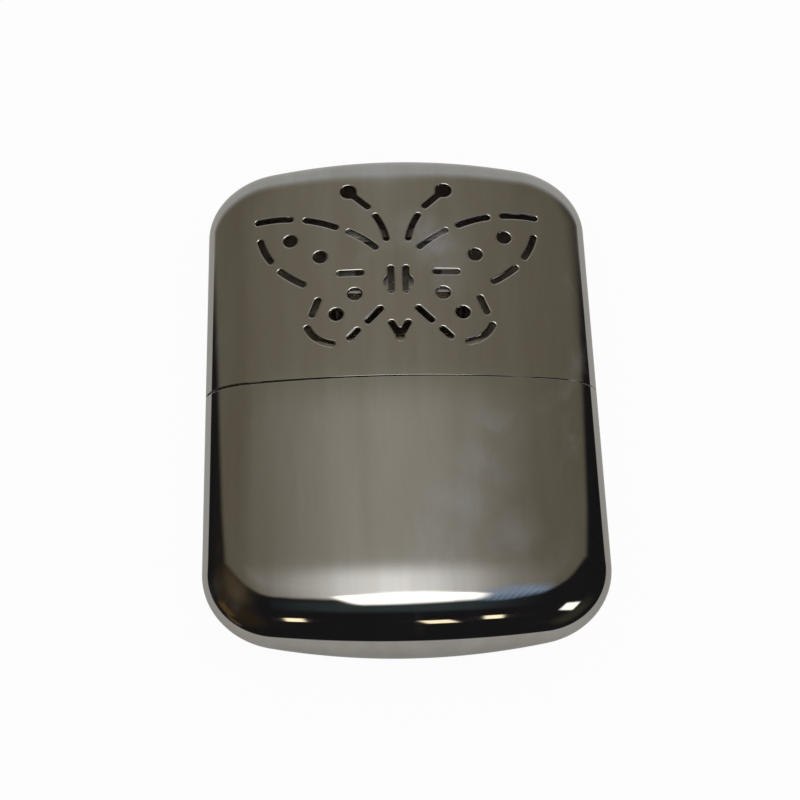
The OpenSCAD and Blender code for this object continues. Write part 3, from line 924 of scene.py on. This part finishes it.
def rounded(corners, closed=True, steps=4):
    """Points and outward directions along a counter-clockwise line with rounded corners.

    Each corner is given by its place and its radius. An open line keeps its ends.
    """
    points, outward = [], []
    count = len(corners)
    for i, (cx, cy, radius) in enumerate(corners):
        here = np.array((cx, cy))
        before = np.array(corners[i - 1][:2]) - here
        after = np.array(corners[(i + 1) % count][:2]) - here
        before, after = before / np.linalg.norm(before), after / np.linalg.norm(after)
        facing = [(-before[1], before[0]), (after[1], -after[0])]
        if not closed and i in (0, count - 1):
            points.append(here)
            outward.append(facing[0] if i else facing[1])
            continue
        half = math.acos(np.clip(before @ after, -1, 1)) / 2
        middle = here + (before + after) / np.linalg.norm(before + after) * radius / math.sin(half)
        reach = radius / math.tan(half)
        spokes = [here + before * reach - middle, here + after * reach - middle]
        for t in np.linspace(0, 1, steps + 1):
            spoke = (1 - t) * spokes[0] + t * spokes[1]
            points.append(middle + spoke * radius / np.linalg.norm(spoke))
            face = (1 - t) * np.array(facing[0]) + t * np.array(facing[1])
            outward.append(face / np.linalg.norm(face))
    return np.array(points), np.array(outward)


def turned_rows(profile, runs, ref):
    """Rings round the spine, one for each point of a half section."""
    rows = []
    for radius, y in profile:
        x, z = oblong_at(runs, radius, ref)
        rows.append(np.stack([x, np.full_like(x, y), z], axis=-1))
    return np.array(rows)


def nearest_normals(known, normals):
    """Function that gives each point the normal of the nearest known point."""
    tree = KDTree(len(known))
    for i, point in enumerate(known):
        tree.insert(point, i)
    tree.balance()
    return lambda points: np.array([normals[tree.find(point)[1]] for point in points])


def add_turned(name, node, corners, body, slot, material, closed=True):
    """Oblong sheet-metal piece turned from the corners of its half section."""
    profile, outward = rounded(corners, closed)
    if closed:
        profile, outward = np.vstack([profile, profile[:1]]), np.vstack([outward, outward[:1]])
    ref = profile[:, 0].max()
    runs = ring_runs(ref)
    rows = turned_rows(profile, runs, ref)
    work = Patchwork()
    work.grid(rows, closed=True)
    x, z = oblong_at(runs, 1.0, ref)
    across = np.stack([x - np.clip(x, -SPINE_HALF, SPINE_HALF), 0 * x, z], axis=-1)
    normals = outward[:, None, :1] * across + outward[:, None, 1:] * np.array((0, 1, 0))
    points = rows.reshape(-1, 3)
    return make_object(name, points, work.faces, [material], body, [node], slot,
                       normals=nearest_normals(points, normals.reshape(-1, 3)))


WALL_PITCH = 0.6                            # mm: size of a sleeve's triangles
WALL_GRID = 0.2                             # mm: of the search for its holes, and along them
RIM_FACE = (7, 12)                          # rows of a rim's ring that make its outer face


def even_line(points, spacing):
    """Open line's points spread evenly, about spacing apart; further columns are carried along."""
    run = np.concatenate([[0], np.cumsum(np.linalg.norm(np.diff(points[:, :2], axis=0), axis=1))])
    at = np.linspace(0, run[-1], int(round(run[-1] / spacing)) + 1)
    return np.stack([np.interp(at, run, column) for column in points.T], axis=1)


def add_wall(name, node, body, slot, materials, sheet, outer=None, holes=None, slits=(), rim=None):
    """Oblong sleeve of sheet with holes through its two faces.

    Holes(x, y) is the distance outside the holes of a face. Slits are (x, width, top) and are open
    at the lower edge. Rim holds the corners of a ring turned round the sleeve, whose outer face is
    in the second material.
    """
    reach, low, high = extent(node)
    outer = outer or reach
    edge = 0.4 * sheet
    length = oblong_length(outer)
    seam = SPINE_HALF + math.pi * outer / 2
    first = seam - length
    floor, roof = low + edge, high - edge
    cuts = sorted((middle + x, w / 2, top) for x, w, top in slits for middle in (-length / 2, 0))

    def at(flat, depth):
        x, z = oblong_at(flat[:, 0], outer - depth, outer)
        return np.stack([x, flat[:, 1], z], axis=-1)

    def hole_distance(run, y):
        return holes(run - np.round(run / (length / 2)) * length / 2, y)

    def inside(run, y):
        found = np.minimum(np.minimum(run - first, seam - run), np.minimum(y - floor, roof - y))
        for middle, half, top in cuts:
            cut = np.hypot(run - middle, np.maximum(0, y - top + half)) - half
            found = np.minimum(found, cut - edge)
        return np.minimum(found, hole_distance(run, y) - edge) if holes else found

    foot = [(first, floor, 0)]
    for middle, half, top in cuts:
        wide = half + edge
        foot += [(middle - wide, floor, 0.1), (middle - wide, top + edge, 0.99 * wide),
                 (middle + wide, top + edge, 0.99 * wide), (middle + wide, floor, 0.1)]
    foot.append((seam, floor, 0))
    foot = even_line(np.hstack(rounded(foot, closed=False)), 0.25)
    head = even_line(np.array([(seam, roof, 0, 1), (first, roof, 0, 1)], float), 0.5)
    rise = np.linspace(floor, roof, 24)[1:-1]
    border = np.vstack([foot[:, :2], np.stack([np.full_like(rise, seam), rise], axis=1),
                        head[:, :2], np.stack([np.full_like(rise, first), rise[::-1]], axis=1)])
    box = (first, low), (seam, high)
    loops = hole_loops(hole_distance, *box, WALL_GRID, WALL_GRID, edge) if holes else []
    flat, faces = fill_region(border, loops, inside, *box, WALL_PITCH)
    work = Patchwork()
    for depth in (0, sheet):
        work.add(at(flat, depth), faces)
    profile = edge_profile(edge, edge, sheet)
    for line in (foot, head):
        work.grid(edge_rows(line[:, :2], -line[:, 2:], at, profile))
    for loop, inward in loops:
        work.grid(edge_rows(loop, inward, at, profile), closed=True)
    if rim:
        ring, _ = rounded(rim)
        rings = turned_rows(np.vstack([ring, ring[:1]]), ring_runs(outer), outer)
        stops = (0, *RIM_FACE, len(rings) - 1)
        for start, end, kind in zip(stops, stops[1:], (0, 1, 0)):
            work.grid(rings[start:end + 1], kind, closed=True)

    def exact(points):
        across = points * (1, 0, 1)
        across[:, 0] -= np.clip(across[:, 0], -SPINE_HALF, SPINE_HALF)
        far = np.maximum(np.linalg.norm(across, axis=1, keepdims=True), 1e-6)
        facing = (np.abs(far - outer) < 1e-3) * 1.0 - (np.abs(far - outer + sheet) < 1e-3)
        return across / far * facing

    return work.piece(name, materials, body, [node], slot, face_materials=work.kinds,
                      normals=exact)


def window_distance(x, y, windows):
    """Distance outside windows given as (x, y, half width, half height, corner radius)."""
    found = []
    for wx, wy, half_w, half_h, r in windows:
        dx, dy = np.abs(x - wx) - half_w + r, np.abs(y - wy) - half_h + r
        found.append(np.hypot(np.maximum(dx, 0), np.maximum(dy, 0))
                     + np.minimum(np.maximum(dx, dy), 0) - r)
    return np.min(found, axis=0)


# ---------------------------------------------------------------- tank top and burner

TOP_SHEET = 0.4
COLLAR_GAP = SHEET + 0.1                    # depth of the collar below the casing's skin
SHOULDER_R = 1
DOME_RISE = 0.8
NECK_R = 3.5
NECK_WALL = 0.5
FLANGE_W = 0.6
FLANGE_T = 0.5
BURNER_SHEET = 0.4
SKIRT_R = 4.05
RIM_LOW, RIM_HIGH = 18.5, 19.0
RIM_LEAN = 0.1                              # by which the rim reaches out less at its lower side
SLIT_X, SLIT_W, SLIT_LEN = 6, 0.6, 4.5
WINDOWS = [(0, 25.5, 1.8, 4.6, 0.8), (5.4, 25.5, 2.2, 4.6, 0.8), (-5.4, 25.5, 2.2, 4.6, 0.8)]
CAP_SKIRT = 2.1                             # from the cap's lower edge to the under side of its top
CAP_R = 0.8
FRONT_STEPS = 56                            # across the front of the tank top's rings


def add_tank_top(material):
    """Collar, shoulder and dome: one drawn sheet, whose rings pass from the casing's shape to the
    neck's oblong."""
    _, foot, top = extent("tank_top")
    collar_top = top - DOME_RISE
    xs = np.linspace(HALF_W - ROLL_W, ROLL_W - HALF_W, FRONT_STEPS + 1)

    def skin_rings(drop):
        gap = COLLAR_GAP + drop
        bend = SHOULDER_R - drop
        bend_foot = collar_top - SHOULDER_R
        for y in (foot, foot + 0.2, bend_foot - 0.2):
            yield skin_ring(lambda x: np.full_like(x, y), gap, xs)
        for turn in np.linspace(0, math.pi / 2, 7):
            y = bend_foot + bend * math.sin(turn)
            yield skin_ring(lambda x: np.full_like(x, y), gap + bend * (1 - math.cos(turn)), xs)

    sides = []
    for drop in (0, TOP_SHEET):
        rings = list(skin_rings(drop))
        edge = rings[-1]
        step = np.linalg.norm(np.diff(np.vstack([edge, edge[:1]])[:, ::2], axis=0), axis=1)
        along = np.concatenate([[0], np.cumsum(step)[:-1]]) - step[:FRONT_STEPS // 2].sum()
        for radius, shares in ((NECK_R + FLANGE_W + 0.1, (0.03, 0.2, 0.4, 0.6, 0.8, 0.97, 1)),
                               (NECK_R + 0.1, (1,))):
            x, z = oblong_at(along / step.sum() * oblong_length(radius), radius, radius)
            land = np.stack([x, np.full_like(x, top - drop), z], axis=-1)
            rings += [edge * (1 - share) + land * share for share in shares]
        sides.append(rings)
    outer, inner = sides
    work = Patchwork()
    work.grid(outer + inner[::-1] + outer[:1], closed=True)
    return work.piece("collar_and_dome", [material], "tank", ["tank_top"], "tank_top_plate",
                      sharp=32)


def add_metal_fittings():
    satin = sheet_metal("tank_top_plate", (0.60, 0.58, 0.53), 0.3, 0.06, scratched=0.002,
                        stain=vapour_stain, stained=(0.25, 0.205, 0.145))
    # The stain's mask also paints a dark streak below the middle window.
    browned = {"stain": heat_stain_and_dark_streak, "stained": (0.075, 0.06, 0.044)}
    steel = sheet_metal("burner_steel", (0.74, 0.71, 0.65), 0.16, 0.14, bare=0.55, **browned)
    skirt_steel = sheet_metal("skirt_steel", (0.5, 0.465, 0.41), 0.2, 0.12, **browned)
    # The rim's outer face gets a near-white, mostly matt copy of the steel: a painted highlight for the
    # light the rim catches.
    rim_painted_highlight = sheet_metal("rim_painted_highlight", (0.94, 0.935, 0.92), 0.12, 0.05, bare=0.1, **browned)
    dark_steel = sheet_metal("gauze_steel", (0.5, 0.49, 0.47), 0.3)
    add_tank_top(satin)
    _, low, high = extent("filler_neck")
    inner = NECK_R - NECK_WALL
    flange = low + FLANGE_T
    add_turned("neck_tube", "filler_neck",
               [(inner, low, 0.06), (NECK_R + FLANGE_W, low, 0.1), (NECK_R + FLANGE_W, flange, 0.1),
                (NECK_R, flange, 0.1), (NECK_R, high, 0.24), (inner, high, 0.24)],
               "tank", "tank_top_plate", satin)
    rim_reach, low, _ = extent("burner_skirt")
    # The rim's outer face takes the painted highlight material.
    add_wall("burner_sleeve", "burner_skirt", "burner", "burner_steel", [skirt_steel, rim_painted_highlight],
             BURNER_SHEET, outer=SKIRT_R,
             slits=[(x, SLIT_W, low + SLIT_LEN) for x in (-SLIT_X, SLIT_X)],
             rim=[(SKIRT_R - 0.2, RIM_LOW, 0.02), (rim_reach - RIM_LEAN, RIM_LOW, 0.1),
                  (rim_reach, RIM_HIGH, 0.1), (SKIRT_R - 0.2, RIM_HIGH, 0.02)])
    add_wall("pierced_cage", "burner_cage", "burner", "burner_steel", [steel], BURNER_SHEET,
             holes=lambda x, y: window_distance(x, y, WINDOWS))
    reach, low, high = extent("cage_cap")
    add_turned("pressed_cap", "cage_cap",
               [(0, low + CAP_SKIRT, 0), (reach - BURNER_SHEET, low + CAP_SKIRT, CAP_R - BURNER_SHEET),
                (reach - BURNER_SHEET, low, 0.12), (reach, low, 0.12), (reach, high, CAP_R),
                (0, high, 0)],
               "burner", "burner_steel", steel, closed=False)
    for name in ("diffuser_plate", "support_gauze"):
        nodes[name].data.materials.clear()
        nodes[name].data.materials.append(dark_steel)


# ---------------------------------------------------------------- soft pieces

def cloudiness(points, size, octaves=3):
    """Smooth noise from about -1 to 1 at points in millimetres, with lumps of about a size."""
    return np.array([noise.fractal(Vector(p) / size, 1.0, 2.0, octaves) for p in points])


def add_soft_turned(name, node, profile, spacing, columns, height, body, slot, material):
    """Oblong soft piece: a half section turned round the spine and raised by height(points, run)."""
    profile = even_line(np.asarray(profile, float), spacing)
    ref = profile[:, 0].max()
    runs = np.arange(columns) * oblong_length(ref) / columns
    rows = turned_rows(profile, runs, ref)
    down = np.gradient(rows, axis=0)
    closed = np.concatenate([rows[:, -1:], rows, rows[:, :1]], axis=1)
    round_ = np.gradient(closed, axis=1)[:, 1:-1]
    outward = np.cross(round_, down)
    outward /= np.maximum(np.linalg.norm(outward, axis=-1, keepdims=True), 1e-9)
    lift = height(rows, runs) * np.clip(profile[:, :1] / 0.8, 0, 1)
    work = Patchwork()
    work.grid(rows + outward * lift[..., None], closed=True)
    piece = work.piece(name, [material], body, [node], slot, sharp=180)
    return piece


YARNS = 68                                  # round the mat
YARN_R = 0.18
YARN_WAVE = 0.1
MAT_WALL = 1.7


def weave(run, y, pitch):
    """Height of plain-woven yarns over their middle plane."""
    across, along = run / pitch, y / pitch
    i, j = np.round(across), np.round(along)
    warp = np.sqrt(1 - (1.9 * (across - i)) ** 2) * YARN_R \
        + YARN_WAVE * np.cos(math.pi * along) * (-1.0) ** i
    weft = np.sqrt(1 - (1.9 * (along - j)) ** 2) * YARN_R \
        - YARN_WAVE * np.cos(math.pi * across) * (-1.0) ** j
    return np.maximum(warp, weft)


def mat_height(rows, runs):
    """Woven yarns, the swelling into the cage's windows and the fold down each end."""
    x, y, z = np.moveaxis(rows, -1, 0)
    run = np.broadcast_to(runs, x.shape)
    pitch = oblong_length(extent("catalyst_mat")[0] - YARN_R - YARN_WAVE) / YARNS
    path = np.concatenate([[0], np.cumsum(np.linalg.norm(np.diff(rows[:, 0], axis=0), axis=-1))])
    lift = weave(run, path[:, None] + 0 * run, pitch)
    for wx, wy, half_w, half_h, _ in WINDOWS:
        swell = np.clip(1 - ((x - wx) / half_w) ** 2, 0, 1) * np.clip(1 - ((y - wy) / half_h) ** 2, 0, 1)
        lift += 0.22 * swell * (np.abs(x) < SPINE_HALF)
    lift -= 0.35 * np.exp(-(z / 0.4) ** 2) * (np.abs(x) > SPINE_HALF)
    lumps = cloudiness(rows.reshape(-1, 3) * (1, 1, 1.5), 2.6).reshape(x.shape)
    return lift + 0.05 * lumps - 0.05


def felt_height(rows, runs):
    """Matted surface with a slightly sunken edge, never above the pad's own size."""
    flat = rows.reshape(-1, 3)
    lift = 0.09 * cloudiness(flat, 0.7) + 0.12 * cloudiness(flat, 3.5)
    return np.minimum(lift.reshape(rows.shape[:2]) - 0.12, 0)


BATTING_VOXEL = 0.7


def add_batting(name, node, slot, material):
    """Lump of cotton in the shape of its cavity: drawn in by lumps, and by folds at its ends."""
    piece = bpy.data.objects.new(name, nodes[node].data.copy())
    bpy.context.scene.collection.objects.link(piece)
    remesh = piece.modifiers.new("voxels", "REMESH")
    remesh.mode = "VOXEL"
    remesh.voxel_size = BATTING_VOXEL * MM
    shape = bpy.data.meshes.new_from_object(
        piece.evaluated_get(bpy.context.evaluated_depsgraph_get()))
    bpy.data.objects.remove(piece)
    flat, facing = np.zeros(len(shape.vertices) * 3), np.zeros(len(shape.vertices) * 3)
    shape.vertices.foreach_get("co", flat)
    shape.vertices.foreach_get("normal", facing)
    points = flat.reshape(-1, 3) / MM - (0, 0, REST_Z)
    facing = facing.reshape(-1, 3)
    ends = np.abs(facing[:, 1]) ** 2
    bend = cloudiness(points, 9, 2)
    folds = np.abs(np.sin(math.pi * (points[:, 2] + 1.2 * bend) / 3.1))
    drawn_in = 0.15 + 0.45 * (0.6 + bend) + 0.14 * cloudiness(points, 1.6) + 0.8 * ends * (1 - folds)
    points -= facing * np.clip(drawn_in, 0.05, 2)[:, None]
    faces = [tuple(face.vertices) for face in shape.polygons]
    soft = make_object(name, points, faces, [material], "tank", [node], slot, sharp=180)
    return soft


def add_soft_pieces():
    glass = fibre_material("catalyst_fibre", (0.29, 0.27, 0.24), (0.18, 0.165, 0.14), 500, 7000, 0.02,
                           specks=(0.14, 0.13, 0.115))
    wool = fibre_material("wick_felt", (0.86, 0.83, 0.75), (0.74, 0.70, 0.60), 900, 6000, 0.06)
    cotton = fibre_material("cotton_wadding", (0.92, 0.90, 0.85), (0.80, 0.77, 0.70), 260, 3500, 0.09)
    reach, low, high = extent("catalyst_mat")
    reach -= YARN_R + YARN_WAVE
    high -= YARN_R + YARN_WAVE
    inner, ceiling = reach - MAT_WALL + 0.2, high - MAT_WALL + 0.2
    section, _ = rounded([(0, ceiling, 0), (inner, ceiling, 0.3), (inner, low + 0.2, 0.3),
                          (reach, low + 0.2, 0.3), (reach, high, 0.8), (0, high, 0)], closed=False)
    add_soft_turned("woven_mat", "catalyst_mat", section, 0.125, 480, mat_height, "burner",
                    "catalyst_fibre", glass)
    reach, low, high = extent("wick_felt")
    section, _ = rounded([(0, low, 0), (reach, low, 0.7), (reach, high, 0.7), (0, high, 0)],
                         closed=False)
    add_soft_turned("felt_pad", "wick_felt", section, 0.2, 260, felt_height, "tank", "wick_felt",
                    wool)
    add_batting("lower_batting", "lower_cotton", "cotton_wadding", cotton)
    add_batting("upper_batting", "upper_cotton", "cotton_wadding", cotton)


# ---------------------------------------------------------------- assembly

LID_SKEW = 0.33                             # mm: the lid sits further open at its left side
LID_SHUT = 0.06                             # and is pushed in by this at its right side


def tank_rim(x):
    return SEAM_GAP / 2 + RIM_W + 0 * np.asarray(x, float)


def lid_rim(x):
    to_left = 0.5 - np.asarray(x, float) / HALF_W / 2
    return SEAM_GAP / 2 + RIM_W - LID_SHUT + LID_SKEW * to_left ** 2


add_camera()
add_world()
add_floor()
nickel = nickel_material()
nickel_inside = sheet_metal("nickel_inside", (0.5, 0.43, 0.34), 0.4, bare=0.5)
add_shell("tank_casing", "tank_shell", "tank", tank_rim, True, [nickel, nickel_inside])
add_shell("lid_casing", "lid_shell", "lid", lid_rim, False, [nickel, nickel_inside],
          figure_distance)
add_metal_fittings()
add_soft_pieces()

bpy.context.scene.view_settings.view_transform = "Standard"
[[list(map(float, corner)) for corner in box] for box in (cad_bounds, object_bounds())]
